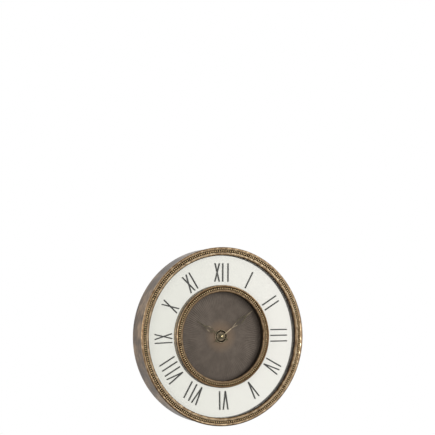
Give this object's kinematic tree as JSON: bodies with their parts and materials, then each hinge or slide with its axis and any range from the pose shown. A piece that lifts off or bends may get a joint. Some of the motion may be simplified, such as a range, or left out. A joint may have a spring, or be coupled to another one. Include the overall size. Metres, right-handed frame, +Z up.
{
  "type": "wall clock",
  "caption": "Round wall clock: beaded antique gold bezel on a deep steel case, mirrored ring with Roman numerals, recessed fluted dial, open leaf hands, quartz movement and keyhole hanger.",
  "frame": {"origin": "point on the wall plane behind the middle of the dial, on the axis of the hands", "axes": "+Z up, +Y from the dial into the wall, +X to the right seen from the front"},
  "size_m": [0.5999, 0.0865, 0.6],
  "materials": {
    "bronzed_steel": "brushed bronze lacquer, satin",
    "fibreboard": "raw medium density fibreboard",
    "zinc_steel": "zinc plated, satin",
    "pine": "sawn and sanded pine",
    "antique_gold_moulding": "antique gold leaf paint, rubbed",
    "antique_brass": "antiqued with dark hollows",
    "foam_tape": "white foam tape",
    "silvered_mirror": "silvered float glass",
    "black_vinyl": "flat black film",
    "bronzed_aluminium": "pressed, bronze lacquer, satin",
    "copper": "copper plated and darkened",
    "black_plastic": "moulded, fine texture",
    "cream_plastic": "natural acetal",
    "black_rubber": "matt",
    "bright_brass": "turned, bright",
    "green_laminate": "solder mask",
    "nickel_can": "nickel plated",
    "soft_iron": "punched sheet",
    "enamelled_copper": "enamelled wire",
    "magnet": "sintered, dull",
    "battery_can": "plain printed sleeve",
    "antique_hand": "antique brass lacquer with worn edges"
  },
  "bodies": {
    "case": {"case_band": "bronzed_steel", "rear_panel": "fibreboard", "band_screws": "zinc_steel", "spacer_posts": "pine", "post_screws": "zinc_steel", "hanger_plate": "zinc_steel", "hanger_screws": "zinc_steel", "outer_bezel": "antique_gold_moulding", "outer_beading": "antique_brass", "bezel_screws": "zinc_steel", "dial_board": "fibreboard", "mirror_tape": "foam_tape", "mirror_ring": "silvered_mirror", "numerals": "black_vinyl", "inner_bezel": "antique_gold_moulding", "inner_beading": "antique_brass", "inner_bezel_screws": "zinc_steel", "dial_plate": "bronzed_aluminium", "dial_boss": "copper", "movement_case": "black_plastic", "movement_front": "black_plastic", "middle_plate": "cream_plastic", "plate_screws": "zinc_steel", "movement_gasket": "black_rubber", "mounting_washer": "bright_brass", "mounting_nut": "bright_brass", "circuit_board": "green_laminate", "quartz_crystal": "nickel_can", "stator": "soft_iron", "coil_core": "soft_iron", "coil_bobbin": "cream_plastic", "coil_winding": "enamelled_copper", "positive_contact": "nickel_can", "negative_contact": "nickel_can"},
    "minute_set": {"minute_arbor": "bright_brass", "minute_hand": "antique_hand", "cap_nut": "bright_brass"},
    "hour_set": {"hour_wheel": "cream_plastic", "hour_hand": "antique_hand"},
    "minute_gear": {"minute_wheel": "cream_plastic"},
    "setting": {"set_knob": "black_plastic"},
    "rotor_set": {"rotor": "magnet"},
    "intermediate_gear": {"intermediate_wheel": "cream_plastic"},
    "fourth_gear": {"fourth_wheel": "cream_plastic"},
    "third_gear": {"third_wheel": "cream_plastic"},
    "centre_gear": {"centre_wheel": "cream_plastic"},
    "cell": {"battery": "battery_can"}
  },
  "joints": [
    {"name": "minute_spin", "type": "hinge", "parent": "case", "child": "minute_set", "pos_m": [0, -0.05, 0], "axis": [0, 1, 0], "continuous": true},
    {"name": "hour_spin", "type": "hinge", "parent": "case", "child": "hour_set", "pos_m": [0, -0.05, 0], "axis": [0, 1, 0], "continuous": true},
    {"name": "minute_wheel_spin", "type": "hinge", "parent": "case", "child": "minute_gear", "pos_m": [0.0084, -0.042, 0], "axis": [0, 1, 0], "continuous": true},
    {"name": "set_knob_spin", "type": "hinge", "parent": "case", "child": "setting", "pos_m": [0.01483, -0.042, -0.0054], "axis": [0, 1, 0], "continuous": true},
    {"name": "rotor_spin", "type": "hinge", "parent": "case", "child": "rotor_set", "pos_m": [0.01213, -0.042, 0.01381], "axis": [0, 1, 0], "continuous": true},
    {"name": "intermediate_spin", "type": "hinge", "parent": "case", "child": "intermediate_gear", "pos_m": [0.00556, -0.042, 0.01621], "axis": [0, 1, 0], "continuous": true},
    {"name": "fourth_spin", "type": "hinge", "parent": "case", "child": "fourth_gear", "pos_m": [-0.00194, -0.042, 0.01621], "axis": [0, 1, 0], "continuous": true},
    {"name": "third_spin", "type": "hinge", "parent": "case", "child": "third_gear", "pos_m": [-0.00619, -0.042, 0.00885], "axis": [0, 1, 0], "continuous": true},
    {"name": "centre_spin", "type": "hinge", "parent": "case", "child": "centre_gear", "pos_m": [0, -0.045, 0], "axis": [0, 1, 0], "continuous": true},
    {"name": "battery_slide", "type": "slide", "parent": "case", "child": "cell", "axis": [0, 1, 0], "range_m": [0, 0.03]}
  ],
  "couplings": [
    {"joint": "hour_spin", "follows": "minute_spin", "ratio": 0.083333},
    {"joint": "minute_wheel_spin", "follows": "minute_spin", "ratio": -0.33333},
    {"joint": "set_knob_spin", "follows": "minute_spin", "ratio": 1},
    {"joint": "intermediate_spin", "follows": "rotor_spin", "ratio": -0.16667},
    {"joint": "fourth_spin", "follows": "rotor_spin", "ratio": 0.033333},
    {"joint": "third_spin", "follows": "rotor_spin", "ratio": -0.0044444},
    {"joint": "centre_spin", "follows": "rotor_spin", "ratio": 0.00055556}
  ]
}
